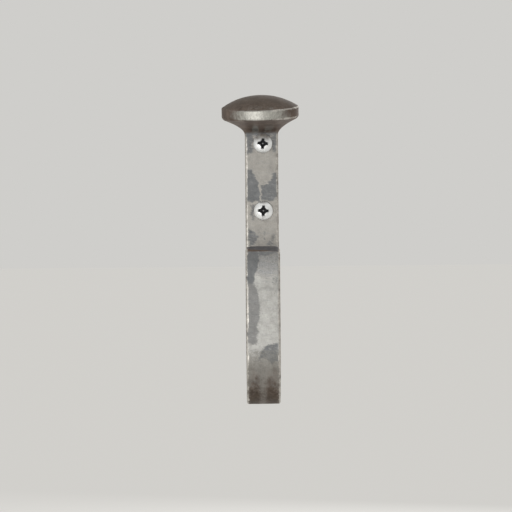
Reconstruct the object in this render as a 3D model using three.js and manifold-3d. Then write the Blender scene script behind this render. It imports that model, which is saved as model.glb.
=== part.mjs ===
// A wall hook forged from one flat steel bar with a round domed head, like a railway spike bent into a J.
// Two pan-head wood screws hold its shank to a wall.
// Millimetres, +Z up. The wall is the plane Y = 0 and the hook stands out from it towards -Y.
// The origin is on the back of the shank, on its centreline, midway in height between the two screw holes.

import * as THREE from "three";
import { ParametricGeometry } from "three/addons/geometries/ParametricGeometry.js";
import { mergeVertices, toCreasedNormals } from "three/addons/utils/BufferGeometryUtils.js";
import Module from "manifold-3d";

const wasm = await Module();
wasm.setup();

const { degToRad, lerp } = THREE.MathUtils;

// The bar
const BAR_WIDTH = 16;
const BAR_THICKNESS = 10;
const BAR_EDGE = 0.8;

// The bend, the arm in front of the shank and its flared tip
const BEND_INNER_RADIUS = 15;
const ARM_STRAIGHT = 28.9;
const FLARE_RADIUS = 41;
const FLARE_ANGLE = degToRad(28);
const TIP_THICKNESS = 5.3;
const TIP_CORNER = 1.5;

// The head, tilted so that its dome leans away from the wall, and rolled so that its right side is a little
// higher. Its underside tilts less, so the rim is deeper towards the wall. The rim's lower edge is crisp in
// front and well rounded at the sides and the back.
const HEAD_RADIUS = 18.4;
const RIM_HEIGHT = 5.1;
const RIM_UPPER_EDGE = 0.5;
const RIM_FRONT_EDGE = 0.4;
const RIM_SIDE_EDGE = 1.8;
const DOME_HEIGHT = 5.4;
const HEAD_TILT = degToRad(10);
const UNDERSIDE_TILT = degToRad(6.5);
const HEAD_ROLL = degToRad(1.25);
const HEAD_WALL_GAP = 0.5;
const HEAD_SIDE_OFFSET = -0.5;

// The neck, which sweeps from the bar's section to a round one under the head
const NECK_RISE = 7.5;
const NECK_RADIUS = 17.4;
const NECK_SIDE_CURVE = 2;
const NECK_FRONT_CURVE = 2.2;

// The screws and their places on the shank, a little to the right of its centreline
const SCREW_SPACING = 32.2;
const SCREW_SIDE_OFFSET = 0.6;
const SCREW_DIAMETER = 4.8;
const SCREW_CORE_DIAMETER = 3.2;
const SCREW_LENGTH = 40;
const SCREW_PLAIN_LENGTH = 2;
const SCREW_POINT_LENGTH = 6;
const SCREW_PITCH = 2;
const SCREW_HEAD_DIAMETER = 9.1;
const SCREW_HEAD_HEIGHT = 3;
const SCREW_HEAD_SIDE = 0.9;
const RECESS_ACROSS = 5.3;
const RECESS_FLOOR_ACROSS = 2.4;
const RECESS_WING = 1.3;
const RECESS_DEPTH = 2;

// Clearances
const HOLE_CLEARANCE = 0.3;
const SCREW_SEAT_GAP = 0.3;
const NECK_ABOVE_SCREW_HEAD = 0.1;
const TIP_BELOW_SCREW_HEAD = 12.5;
const CUT_MARGIN = 1;

// Divisions of the faceted solids
const CORNER_STEPS = 5;
const NECK_STEPS = 9;
const BEND_STEPS = 20;
const FLARE_STEPS = 6;
const TIP_STEPS = 3;
const HEAD_SEGMENTS = 56;
const DOME_STEPS = 8;
const EDGE_STEPS = 3;
const SCREW_SEGMENTS = 12;
const SCREW_HEAD_SEGMENTS = 32;
const SCREW_DOME_STEPS = 5;
const HOLE_SEGMENTS = 32;
const THREAD_ROWS_PER_TURN = 4;
const CREASE_ANGLE = degToRad(30);

// Heights and depths that follow from those sizes
const UPPER_SCREW_Z = SCREW_SPACING / 2;
const LOWER_SCREW_Z = -SCREW_SPACING / 2;
const SCREW_HEAD_RADIUS = SCREW_HEAD_DIAMETER / 2;
const SHANK_TOP = UPPER_SCREW_Z + SCREW_HEAD_RADIUS + NECK_ABOVE_SCREW_HEAD;
const BEND_RADIUS = BEND_INNER_RADIUS + BAR_THICKNESS / 2;
const SHANK_Y = -BAR_THICKNESS / 2;
const BEND_Y = SHANK_Y - BEND_RADIUS;
const ARM_Y = BEND_Y - BEND_RADIUS;
const TIP_TOP = LOWER_SCREW_Z - SCREW_HEAD_RADIUS - TIP_BELOW_SCREW_HEAD;
const TIP_RISE = FLARE_RADIUS * Math.sin(FLARE_ANGLE) + (TIP_THICKNESS / 2) * Math.sin(FLARE_ANGLE);
const FLARE_Z = TIP_TOP - TIP_RISE;
const BEND_Z = FLARE_Z - ARM_STRAIGHT;
const RIM_TAPER = Math.tan(HEAD_TILT - UNDERSIDE_TILT);
const HEAD_REACH = HEAD_RADIUS * (Math.cos(HEAD_TILT) + 2 * RIM_TAPER * Math.sin(HEAD_TILT));
const HEAD_Y = -HEAD_REACH - HEAD_WALL_GAP;
const HEAD_Z = SHANK_TOP + NECK_RISE;
const UNDERSIDE_DROP = HEAD_RADIUS * RIM_TAPER;
const NECK_TOP_Y = HEAD_Y + UNDERSIDE_DROP * Math.sin(HEAD_TILT);
const NECK_TOP_Z = HEAD_Z - UNDERSIDE_DROP * Math.cos(HEAD_TILT);

const forgedSteel = new THREE.MeshStandardMaterial({
  name: "forged_steel",
  color: "#6f6c67",
  roughness: 0.5,
  metalness: 0.9,
});

const zincPlatedSteel = new THREE.MeshStandardMaterial({
  name: "zinc_plated_steel",
  color: "#c3c6c8",
  roughness: 0.3,
  metalness: 1,
});

// The solid that a closed geometry bounds.
function solidOf(geometry) {
  const bare = geometry.clone();
  bare.deleteAttribute("normal");
  bare.deleteAttribute("uv");
  const merged = mergeVertices(bare);
  const mesh = new wasm.Mesh({
    numProp: 3,
    vertProperties: new Float32Array(merged.attributes.position.array),
    triVerts: new Uint32Array(merged.index.array),
  });
  return new wasm.Manifold(mesh);
}

// The named mesh of a solid, with its edges left sharp and its curves shaded smooth.
function meshOf(name, solid, material) {
  const { vertProperties, triVerts } = solid.getMesh();
  const geometry = new THREE.BufferGeometry();
  geometry.setAttribute("position", new THREE.BufferAttribute(vertProperties, 3));
  geometry.setIndex(new THREE.BufferAttribute(triVerts, 1));
  const mesh = new THREE.Mesh(toCreasedNormals(geometry, CREASE_ANGLE), material);
  mesh.name = name;
  return mesh;
}

// One section of the hook: a rounded rectangle in the plane of X and of a line at this tilt from +Y.
function section(y, z, tilt, halfWidth, halfDepth, corner) {
  return { x: 0, y, z, tilt, roll: 0, halfWidth, halfDepth, corner };
}

// The same section shrunk to its centre, which closes the end of a loft.
function closing(last) {
  return { ...last, halfWidth: 0, halfDepth: 0, corner: 0 };
}

// The closed solid through these sections, from the first to the last.
function loft(sections) {
  const pointsPerCorner = CORNER_STEPS + 1;
  const around = 4 * pointsPerCorner;
  const rows = [closing(sections[0]), ...sections, closing(sections.at(-1))];
  const lastRow = rows.length - 1;
  const surface = (u, v, target) => {
    const row = rows[Math.round(v * lastRow)];
    const place = (around - Math.round(u * around)) % around;
    const corner = Math.floor(place / pointsPerCorner);
    const angle = (Math.PI / 2) * (corner + (place % pointsPerCorner) / CORNER_STEPS);
    const side = corner === 0 || corner === 3 ? 1 : -1;
    const face = corner < 2 ? 1 : -1;
    const across = side * (row.halfWidth - row.corner) + row.corner * Math.cos(angle);
    const deep = face * (row.halfDepth - row.corner) + row.corner * Math.sin(angle);
    const y = row.y + deep * Math.cos(row.tilt);
    const z = row.z + deep * Math.sin(row.tilt) + across * Math.sin(row.roll);
    target.set(row.x + across, y, z);
  };
  return solidOf(new ParametricGeometry(surface, around, lastRow));
}

// The neck's sections, from one sunk in the head, past the plane of its underside, down to the bar's own.
function neckSections() {
  const sections = [];
  for (let step = NECK_STEPS; step >= 0; step -= 1) {
    const rise = step / NECK_STEPS;
    const wide = rise ** NECK_SIDE_CURVE;
    const forward = rise ** NECK_FRONT_CURVE;
    const made = section(
      lerp(SHANK_Y, NECK_TOP_Y, forward),
      lerp(SHANK_TOP, NECK_TOP_Z, rise),
      lerp(0, UNDERSIDE_TILT, rise),
      lerp(BAR_WIDTH / 2, NECK_RADIUS, wide),
      lerp(BAR_THICKNESS / 2, NECK_RADIUS, forward),
      lerp(BAR_EDGE, NECK_RADIUS, rise ** 2),
    );
    made.corner = Math.min(made.corner, made.halfWidth, made.halfDepth);
    made.x = HEAD_SIDE_OFFSET * wide;
    made.roll = HEAD_ROLL * rise;
    sections.push(made);
  }
  const top = sections[0];
  const sunk = {
    ...top,
    y: top.y - (RIM_HEIGHT / 2) * Math.sin(HEAD_TILT),
    z: top.z + (RIM_HEIGHT / 2) * Math.cos(HEAD_TILT),
  };
  return [sunk, ...sections];
}

// The bend's sections, from the foot of the shank round to the foot of the arm.
function bendSections() {
  const sections = [];
  for (let step = 0; step <= BEND_STEPS; step += 1) {
    const tilt = (-Math.PI * step) / BEND_STEPS;
    const y = BEND_Y + BEND_RADIUS * Math.cos(tilt);
    const z = BEND_Z + BEND_RADIUS * Math.sin(tilt);
    sections.push(section(y, z, tilt, BAR_WIDTH / 2, BAR_THICKNESS / 2, BAR_EDGE));
  }
  return sections;
}

// The section of the arm where it has turned this far out from upright, thinner towards the tip.
function flareSection(turned) {
  const y = ARM_Y - FLARE_RADIUS * (1 - Math.cos(turned));
  const z = FLARE_Z + FLARE_RADIUS * Math.sin(turned);
  const thickness = lerp(BAR_THICKNESS, TIP_THICKNESS, turned / FLARE_ANGLE);
  return section(y, z, turned - Math.PI, BAR_WIDTH / 2, thickness / 2, BAR_EDGE);
}

// The arm's sections above its straight stretch. The last few round off the two corners of the tip.
function flareSections() {
  const sections = [];
  const cornerAngle = TIP_CORNER / FLARE_RADIUS;
  for (let step = 0; step <= FLARE_STEPS; step += 1)
    sections.push(flareSection(((FLARE_ANGLE - cornerAngle) * step) / FLARE_STEPS));
  for (let step = 1; step <= TIP_STEPS; step += 1) {
    const around = ((Math.PI / 2) * step) / TIP_STEPS;
    const made = flareSection(FLARE_ANGLE - cornerAngle * (1 - Math.sin(around)));
    made.halfWidth -= TIP_CORNER * (1 - Math.cos(around));
    sections.push(made);
  }
  return sections;
}

// Points along a quarter of a circle about (x, y), starting at the given share of a turn.
function quarterArc(x, y, radius, start, steps) {
  const curve = new THREE.EllipseCurve(x, y, radius, radius, start, start + Math.PI / 2);
  return curve.getPoints(steps);
}

// Shapes a point of the head's lower part: draws the rim's rounded edge in to a crisp one in front, and
// lowers the underside on its own slant. The head stands upright here, with its front at +Z.
function shapeUnderside(place) {
  const radius = Math.hypot(place.x, place.z);
  const inset = HEAD_RADIUS - radius;
  if (inset <= RIM_SIDE_EDGE) {
    const forward = Math.max(0, place.z / radius);
    const share = lerp(1, RIM_FRONT_EDGE / RIM_SIDE_EDGE, forward ** 2);
    const shift = (HEAD_RADIUS - inset * share) / radius;
    place.multiply(new THREE.Vector3(shift, share, shift));
  }
  place.y -= (HEAD_RADIUS - place.z) * RIM_TAPER;
}

// The round head: a rim with eased edges under a shallow dome, tilted and rolled into its place.
function headSolid() {
  const domeFoot = HEAD_RADIUS - RIM_UPPER_EDGE;
  const domeRadius = (domeFoot ** 2 + DOME_HEIGHT ** 2) / (2 * DOME_HEIGHT);
  const domeCentre = RIM_HEIGHT + DOME_HEIGHT - domeRadius;
  const domeStart = Math.asin((RIM_HEIGHT - domeCentre) / domeRadius);
  const dome = new THREE.EllipseCurve(0, domeCentre, domeRadius, domeRadius, domeStart, Math.PI / 2);
  const profile = [
    new THREE.Vector2(0, 0),
    ...quarterArc(HEAD_RADIUS - RIM_SIDE_EDGE, RIM_SIDE_EDGE, RIM_SIDE_EDGE, -Math.PI / 2, EDGE_STEPS),
    ...quarterArc(domeFoot, RIM_HEIGHT - RIM_UPPER_EDGE, RIM_UPPER_EDGE, 0, EDGE_STEPS).slice(0, -1),
    ...dome.getPoints(DOME_STEPS).slice(0, -1),
    new THREE.Vector2(0, RIM_HEIGHT + DOME_HEIGHT),
  ];
  const geometry = new THREE.LatheGeometry(profile, HEAD_SEGMENTS);
  const places = geometry.getAttribute("position");
  const place = new THREE.Vector3();
  for (let i = 0; i < places.count; i += 1) {
    place.fromBufferAttribute(places, i);
    if (place.y < RIM_HEIGHT / 2) shapeUnderside(place);
    places.setXYZ(i, place.x, place.y, place.z);
  }
  geometry.rotateX(Math.PI / 2 + HEAD_TILT);
  geometry.rotateY(-HEAD_ROLL);
  geometry.translate(HEAD_SIDE_OFFSET, HEAD_Y, HEAD_Z);
  return solidOf(geometry);
}

// The clearance hole through the shank for the screw at this height.
function holeSolid(z) {
  const radius = SCREW_DIAMETER / 2 + HOLE_CLEARANCE;
  const length = BAR_THICKNESS + 2 * CUT_MARGIN;
  const geometry = new THREE.CylinderGeometry(radius, radius, length, HOLE_SEGMENTS);
  geometry.translate(SCREW_SIDE_OFFSET, SHANK_Y, z);
  return solidOf(geometry);
}

function forgedHook() {
  const bar = loft([...neckSections(), ...bendSections(), ...flareSections()]);
  const holes = holeSolid(UPPER_SCREW_Z).add(holeSolid(LOWER_SCREW_Z));
  return meshOf("forged_hook", bar.add(headSolid()).subtract(holes), forgedSteel);
}

// The screw's head and plain neck, seated at height 0 with the point below.
function screwHead() {
  const rise = SCREW_HEAD_HEIGHT - SCREW_HEAD_SIDE;
  const domeRadius = (SCREW_HEAD_RADIUS ** 2 + rise ** 2) / (2 * rise);
  const domeCentre = SCREW_HEAD_HEIGHT - domeRadius;
  const domeStart = Math.asin((SCREW_HEAD_SIDE - domeCentre) / domeRadius);
  const dome = new THREE.EllipseCurve(0, domeCentre, domeRadius, domeRadius, domeStart, Math.PI / 2);
  const profile = [
    new THREE.Vector2(0, -SCREW_PLAIN_LENGTH),
    new THREE.Vector2(SCREW_DIAMETER / 2, -SCREW_PLAIN_LENGTH),
    new THREE.Vector2(SCREW_DIAMETER / 2, 0),
    new THREE.Vector2(SCREW_HEAD_RADIUS, 0),
    ...dome.getPoints(SCREW_DOME_STEPS).slice(0, -1),
    new THREE.Vector2(0, SCREW_HEAD_HEIGHT),
  ];
  const geometry = new THREE.LatheGeometry(profile, SCREW_HEAD_SEGMENTS);
  geometry.rotateX(Math.PI / 2);
  return solidOf(geometry);
}

// The right-hand thread and point: the rows of the surface follow the helix, so each crest is one row.
function screwThread() {
  const core = SCREW_CORE_DIAMETER / 2;
  const crest = SCREW_DIAMETER / 2;
  const top = -SCREW_PLAIN_LENGTH / 2;
  const turns = Math.ceil((SCREW_LENGTH + top) / SCREW_PITCH) + 2;
  const rows = turns * THREAD_ROWS_PER_TURN;
  const surface = (u, v, target) => {
    const row = Math.round(v * rows);
    const turned = Math.round(u * SCREW_SEGMENTS) / SCREW_SEGMENTS;
    const z = SCREW_PITCH * (row / THREAD_ROWS_PER_TURN + turned - 1) - SCREW_LENGTH;
    const taper = Math.min(1, Math.max(0, (z + SCREW_LENGTH) / SCREW_POINT_LENGTH));
    const radius = taper * (row % THREAD_ROWS_PER_TURN === 0 ? crest : core);
    const angle = 2 * Math.PI * turned;
    const inside = z < top ? radius : 0;
    const height = Math.min(top, Math.max(-SCREW_LENGTH, z));
    target.set(inside * Math.cos(angle), inside * Math.sin(angle), height);
  };
  return solidOf(new ParametricGeometry(surface, SCREW_SEGMENTS, rows));
}

// The cross recess: two tapered wings at right angles, and a square pyramid that eases their inner corners.
function recessSolid() {
  const top = SCREW_HEAD_HEIGHT + CUT_MARGIN;
  const floor = SCREW_HEAD_HEIGHT - RECESS_DEPTH;
  const slope = (RECESS_ACROSS - RECESS_FLOOR_ACROSS) / 2 / RECESS_DEPTH;
  const mouth = RECESS_ACROSS / 2 + slope * CUT_MARGIN;
  const outline = new THREE.Shape([
    new THREE.Vector2(-RECESS_FLOOR_ACROSS / 2, floor),
    new THREE.Vector2(RECESS_FLOOR_ACROSS / 2, floor),
    new THREE.Vector2(mouth, top),
    new THREE.Vector2(-mouth, top),
  ]);
  const wing = new THREE.ExtrudeGeometry(outline, { depth: RECESS_WING, bevelEnabled: false });
  wing.translate(0, 0, -RECESS_WING / 2);
  wing.rotateX(Math.PI / 2);
  const crossWing = wing.clone().rotateZ(Math.PI / 2);
  const pyramid = new THREE.ConeGeometry(RECESS_ACROSS / 2, RECESS_DEPTH, 4);
  pyramid.rotateX(-Math.PI / 2);
  pyramid.translate(0, 0, SCREW_HEAD_HEIGHT - RECESS_DEPTH / 2);
  return solidOf(wing).add(solidOf(crossWing)).add(solidOf(pyramid));
}

// A screw driven home at this height on the shank, its head just clear of the steel.
function screwMesh(name, z) {
  const solid = screwHead().add(screwThread()).subtract(recessSolid());
  const mesh = meshOf(name, solid, zincPlatedSteel);
  mesh.rotation.x = Math.PI / 2;
  mesh.position.set(SCREW_SIDE_OFFSET, -BAR_THICKNESS - SCREW_SEAT_GAP, z);
  return mesh;
}

const group = new THREE.Group();
group.name = "spike_wall_hook";
group.add(forgedHook());
group.add(screwMesh("upper_screw", UPPER_SCREW_Z));
group.add(screwMesh("lower_screw", LOWER_SCREW_Z));

export default group;
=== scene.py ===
"""A forged steel wall hook with a round domed head, held by two zinc-plated pan-head screws."""

import math

import bmesh
import bpy
import numpy as np
from mathutils import Matrix, Vector, noise


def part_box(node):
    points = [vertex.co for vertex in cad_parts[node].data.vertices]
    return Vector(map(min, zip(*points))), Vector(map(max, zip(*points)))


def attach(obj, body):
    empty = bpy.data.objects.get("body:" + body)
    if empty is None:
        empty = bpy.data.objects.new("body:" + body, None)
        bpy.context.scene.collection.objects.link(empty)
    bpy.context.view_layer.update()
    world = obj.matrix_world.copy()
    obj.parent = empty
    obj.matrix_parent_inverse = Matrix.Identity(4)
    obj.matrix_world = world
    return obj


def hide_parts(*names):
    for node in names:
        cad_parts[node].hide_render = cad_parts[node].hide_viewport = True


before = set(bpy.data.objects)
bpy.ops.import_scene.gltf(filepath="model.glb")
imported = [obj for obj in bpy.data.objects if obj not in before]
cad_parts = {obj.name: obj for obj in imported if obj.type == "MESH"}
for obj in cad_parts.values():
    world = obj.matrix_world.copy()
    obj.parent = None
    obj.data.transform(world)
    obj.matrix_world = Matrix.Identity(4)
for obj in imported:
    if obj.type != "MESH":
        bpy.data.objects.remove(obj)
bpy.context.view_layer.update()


# --- Camera, floor and light --------------------------------------------------------------------------
# The hook is looked at square on from a metre away through a long lens, held half a degree out of level.
# A pale floor lies well below it. A soft box in front and a little below gives the light and another one
# lights the back, in a pale room with even light from overhead.

MM = 0.001
CAMERA_X, CAMERA_Y, CAMERA_Z = -3.1 * MM, -1.0, -37.7 * MM
CAMERA_ROLL = math.radians(-0.5)
LENS = 145.3
CLIP_END = 200.0
FLOOR_Z = -0.42
FLOOR_SIZE = 150.0
ROOM_COLOUR, FLOOR_COLOUR = "#cfcecb", "#e9e8e6"
LIGHT_TARGET = (0, 0, -0.03)
OVERHEAD_STRENGTH, OVERHEAD_SPREAD = 0.5, math.radians(100)


def linear(hex_colour):
    """The linear colour of an sRGB hex value."""
    values = [int(hex_colour[i : i + 2], 16) / 255 for i in (1, 3, 5)]
    return (*(v / 12.92 if v <= 0.04045 else ((v + 0.055) / 1.055) ** 2.4 for v in values), 1.0)


def add_node(tree, kind, inputs=(), out=0, **settings):
    """Adds a node with its settings, sets or links its inputs, and gives one of its outputs."""
    made = tree.nodes.new(kind)
    for key, value in settings.items():
        setattr(made, key, value)
    named = inputs if isinstance(inputs, dict) else dict(enumerate(inputs))
    for socket, value in named.items():
        if isinstance(value, bpy.types.NodeSocket):
            tree.links.new(value, made.inputs[socket])
        else:
            made.inputs[socket].default_value = value
    return made.outputs[out] if made.outputs else made


def new_object(name, data):
    """A new object at the origin that holds this mesh, lamp or camera."""
    made = bpy.data.objects.new(name, data)
    bpy.context.scene.collection.objects.link(made)
    return made


def aimed(obj, place, target):
    """Puts a lamp or a camera at a place, looking at a target."""
    obj.location = place
    obj.rotation_euler = (Vector(target) - Vector(place)).to_track_quat("-Z", "Y").to_euler()


def soft_box(name, place, size, power):
    lamp = bpy.data.lights.new(name, "AREA")
    lamp.shape = "RECTANGLE"
    lamp.size, lamp.size_y = size
    lamp.energy = power
    aimed(new_object(name, lamp), place, LIGHT_TARGET)


camera = bpy.data.cameras.new("camera")
camera.lens = LENS
camera.clip_end = CLIP_END
camera_object = new_object("camera", camera)
aimed(camera_object, (CAMERA_X, CAMERA_Y, CAMERA_Z), (CAMERA_X, 0, CAMERA_Z))
camera_object.rotation_euler.rotate_axis("Z", CAMERA_ROLL)
bpy.context.scene.camera = camera_object
bpy.context.scene.view_settings.view_transform = "Standard"

soft_box("front_box", place=(-0.45, -1.7, -0.35), size=(1.1, 0.9), power=14.0)
soft_box("rear_box", place=(0.6, 1.8, 0.5), size=(1.4, 1.2), power=7.0)
overhead = bpy.data.lights.new("overhead", "SUN")
overhead.energy = OVERHEAD_STRENGTH
overhead.angle = OVERHEAD_SPREAD
new_object("overhead", overhead)

world = bpy.data.worlds.new("pale_room")
world.use_nodes = True
bpy.context.scene.world = world
sky = world.node_tree
sky.nodes.clear()
glow = add_node(sky, "ShaderNodeBackground", (linear(ROOM_COLOUR), 1.0))
add_node(sky, "ShaderNodeOutputWorld", (glow,))

floor_mesh = bpy.data.meshes.new("floor")
reach = FLOOR_SIZE / 2
floor_corners = [(-reach, -reach), (reach, -reach), (reach, reach), (-reach, reach)]
floor_mesh.from_pydata([(x, y, FLOOR_Z) for x, y in floor_corners], [], [(0, 1, 2, 3)])
floor_paint = bpy.data.materials.new("matt_floor_paint")
floor_paint.use_nodes = True
floor_shader = floor_paint.node_tree.nodes["Principled BSDF"]
floor_shader.inputs["Base Color"].default_value = linear(FLOOR_COLOUR)
floor_shader.inputs["Roughness"].default_value = 1.0
floor_shader.inputs["Specular IOR Level"].default_value = 0.0
floor_mesh.materials.append(floor_paint)
new_object("floor", floor_mesh)


# --- The forged hook ----------------------------------------------------------------------------------
# One piece of mild steel, forged like a railway spike: the head is upset, the shank drawn flat, the end
# bent up into a J and its tip flared out. The faces that are seen were ground bright over the forge scale
# and the long edges filed, so scale stays in patches and on the head and the sides. Painted shade darkens
# the outside of the bend where it turns down, the neck under the head and the top of the dome.

BAR_WIDTH, BAR_THICKNESS, BAR_EDGE = 16.0, 10.0, 0.85
BEND_INNER_RADIUS = 15.0
FLARE_RADIUS, FLARE_ANGLE = 41.0, math.radians(28)
TIP_THICKNESS, TIP_CORNER = 5.3, 1.5
HEAD_RADIUS, HEAD_SIDE_OFFSET, HEAD_WALL_GAP = 18.4, -0.5, 0.5
RIM_HEIGHT, RIM_UPPER_EDGE, RIM_FRONT_EDGE, RIM_SIDE_EDGE, DOME_HEIGHT = 5.1, 0.5, 0.4, 1.8, 5.4
HEAD_TILT, UNDERSIDE_TILT, HEAD_ROLL = math.radians(10), math.radians(6.5), math.radians(1.25)
NECK_RISE, NECK_RADIUS = 7.5, 17.4
NECK_SIDE_CURVE, NECK_FRONT_CURVE = 2.0, 2.2
NECK_ABOVE_SCREW_HEAD, TIP_BELOW_SCREW_HEAD = 0.1, 12.5
HOLE_DIAMETER = 5.4
VOXEL, SKIN_SMOOTHING, SKIN_PASSES = 0.42, 0.5, 4
# The hammer's marks: their depth and its least share, their sizes, and the lengths over which they deepen
# above the shank and round the bend and fade towards the flat back.
FORGE_DEPTH, LEAST_FORGED = 0.16, 0.35
DENT_SIZE, RIPPLE_SIZE, RIPPLE_SHARE = 7.0, 2.6, 0.35
FORGED_ABOVE_SHANK, FORGED_ROUND_BEND, FORGED_OFF_BACK = 4, 12, 0.6
EVENING_PASSES = 3

hook_low, hook_high = (np.array(corner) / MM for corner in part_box("forged_hook"))
screw_boxes = {name: [np.array(c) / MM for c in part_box(name)] for name in ("upper_screw", "lower_screw")}
screw_heights = {name: (low[2] + high[2]) / 2 for name, (low, high) in screw_boxes.items()}
screw_x = (screw_boxes["upper_screw"][0][0] + screw_boxes["upper_screw"][1][0]) / 2
screw_head_radius = (screw_boxes["upper_screw"][1][0] - screw_boxes["upper_screw"][0][0]) / 2

shank_y = -BAR_THICKNESS / 2
bend_radius = BEND_INNER_RADIUS + BAR_THICKNESS / 2
bend_y = shank_y - bend_radius
bend_z = hook_low[2] + bend_radius + BAR_THICKNESS / 2
arm_y = bend_y - bend_radius
tip_top = screw_heights["lower_screw"] - screw_head_radius - TIP_BELOW_SCREW_HEAD
flare_z = tip_top - (FLARE_RADIUS + TIP_THICKNESS / 2) * math.sin(FLARE_ANGLE)
shank_top = screw_heights["upper_screw"] + screw_head_radius + NECK_ABOVE_SCREW_HEAD
rim_taper = math.tan(HEAD_TILT - UNDERSIDE_TILT)
head_y = -HEAD_RADIUS * (math.cos(HEAD_TILT) + 2 * rim_taper * math.sin(HEAD_TILT)) - HEAD_WALL_GAP
head_z = shank_top + NECK_RISE
neck_top_y = head_y + HEAD_RADIUS * rim_taper * math.sin(HEAD_TILT)
neck_top_z = head_z - HEAD_RADIUS * rim_taper * math.cos(HEAD_TILT)


def mix(a, b, share):
    return a + (b - a) * share


def station(y, z, tilt, half_width, half_depth, corner, x=0.0, roll=0.0):
    """One section of the bar, in millimetres: centre, tilt from the wall's normal, roll and sizes."""
    sizes = dict(half_width=half_width, half_depth=half_depth, corner=corner)
    return dict(x=x, y=y, z=z, lean=tilt, roll=roll, **sizes)


def flare_station(turned, narrower=0.0):
    y = arm_y - FLARE_RADIUS * (1 - math.cos(turned))
    z = flare_z + FLARE_RADIUS * math.sin(turned)
    half_depth = mix(BAR_THICKNESS, TIP_THICKNESS, turned / FLARE_ANGLE) / 2
    return station(y, z, turned - math.pi, BAR_WIDTH / 2 - narrower, half_depth, BAR_EDGE)


def bar_stations():
    """The sections from inside the head, down the neck and the shank, round the bend and up to the tip."""
    made = []
    neck_steps, bend_steps, flare_steps, tip_steps = 40, 120, 40, 8
    for step in range(neck_steps, -1, -1):
        rise = step / neck_steps
        wide, forward = rise**NECK_SIDE_CURVE, rise**NECK_FRONT_CURVE
        half_width = mix(BAR_WIDTH / 2, NECK_RADIUS, wide)
        half_depth = mix(BAR_THICKNESS / 2, NECK_RADIUS, forward)
        corner = min(mix(BAR_EDGE, NECK_RADIUS, rise**2), half_width, half_depth)
        y, z = mix(shank_y, neck_top_y, forward), mix(shank_top, neck_top_z, rise)
        set_over = {"x": HEAD_SIDE_OFFSET * wide, "roll": HEAD_ROLL * rise}
        made.append(station(y, z, UNDERSIDE_TILT * rise, half_width, half_depth, corner, **set_over))
    sunk = dict(made[0])
    sunk["y"] -= RIM_HEIGHT / 2 * math.sin(HEAD_TILT)
    sunk["z"] += RIM_HEIGHT / 2 * math.cos(HEAD_TILT)
    made.insert(0, sunk)
    for step in range(bend_steps + 1):
        tilt = -math.pi * step / bend_steps
        y, z = bend_y + bend_radius * math.cos(tilt), bend_z + bend_radius * math.sin(tilt)
        made.append(station(y, z, tilt, BAR_WIDTH / 2, BAR_THICKNESS / 2, BAR_EDGE))
    corner_angle = TIP_CORNER / FLARE_RADIUS
    for step in range(1, flare_steps + 1):
        made.append(flare_station((FLARE_ANGLE - corner_angle) * step / flare_steps))
    for step in range(1, tip_steps + 1):
        around = math.pi / 2 * step / tip_steps
        turned = FLARE_ANGLE - corner_angle * (1 - math.sin(around))
        made.append(flare_station(turned, TIP_CORNER * (1 - math.cos(around))))
    return made


def centreline(stations):
    """A chain of points, one a station, that carries each section's sizes as attributes, in metres."""
    mesh = bpy.data.meshes.new("bar_centreline")
    places = [(s["x"] * MM, s["y"] * MM, s["z"] * MM) for s in stations]
    mesh.from_pydata(places, [(i, i + 1) for i in range(len(places) - 1)], [])
    units = {"half_width": MM, "half_depth": MM, "corner": MM, "lean": 1, "roll": 1}
    for key, unit in units.items():
        stored = mesh.attributes.new(key, "FLOAT", "POINT")
        stored.data.foreach_set("value", [s[key] * unit for s in stations])
    mesh.attributes.new("centre", "FLOAT_VECTOR", "POINT").data.foreach_set(
        "vector", [value for place in places for value in place]
    )
    return new_object("bar_centreline", mesh)


def new_tree(name, inputs):
    """An empty Geometry Nodes tree with a geometry in and out and these named inputs."""
    tree = bpy.data.node_groups.new(name, "GeometryNodeTree")
    tree.interface.new_socket("Geometry", in_out="INPUT", socket_type="NodeSocketGeometry")
    tree.interface.new_socket("Geometry", in_out="OUTPUT", socket_type="NodeSocketGeometry")
    for label, kind in inputs.items():
        tree.interface.new_socket(label, in_out="INPUT", socket_type=kind)
    return tree


def run_tree(obj, tree, values):
    """The plain mesh that this tree makes of an object, with its inputs set by their identifiers."""
    modifier = obj.modifiers.new("nodes", "NODES")
    modifier.node_group = tree
    for item in tree.interface.items_tree:
        if item.in_out == "INPUT" and item.name in values:
            modifier[item.identifier] = values[item.name]
    mesh = bpy.data.meshes.new_from_object(obj.evaluated_get(bpy.context.evaluated_depsgraph_get()))
    obj.modifiers.remove(modifier)
    bpy.data.objects.remove(obj)
    return mesh


def finish_tree(tree, geometry):
    """Ends a tree: real geometry with its material on it."""
    real = add_node(tree, "GeometryNodeRealizeInstances", (geometry,))
    material = add_node(tree, "NodeGroupInput", out="Material")
    painted = add_node(tree, "GeometryNodeSetMaterial", {"Geometry": real, "Material": material})
    add_node(tree, "NodeGroupOutput", (painted,))


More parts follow.
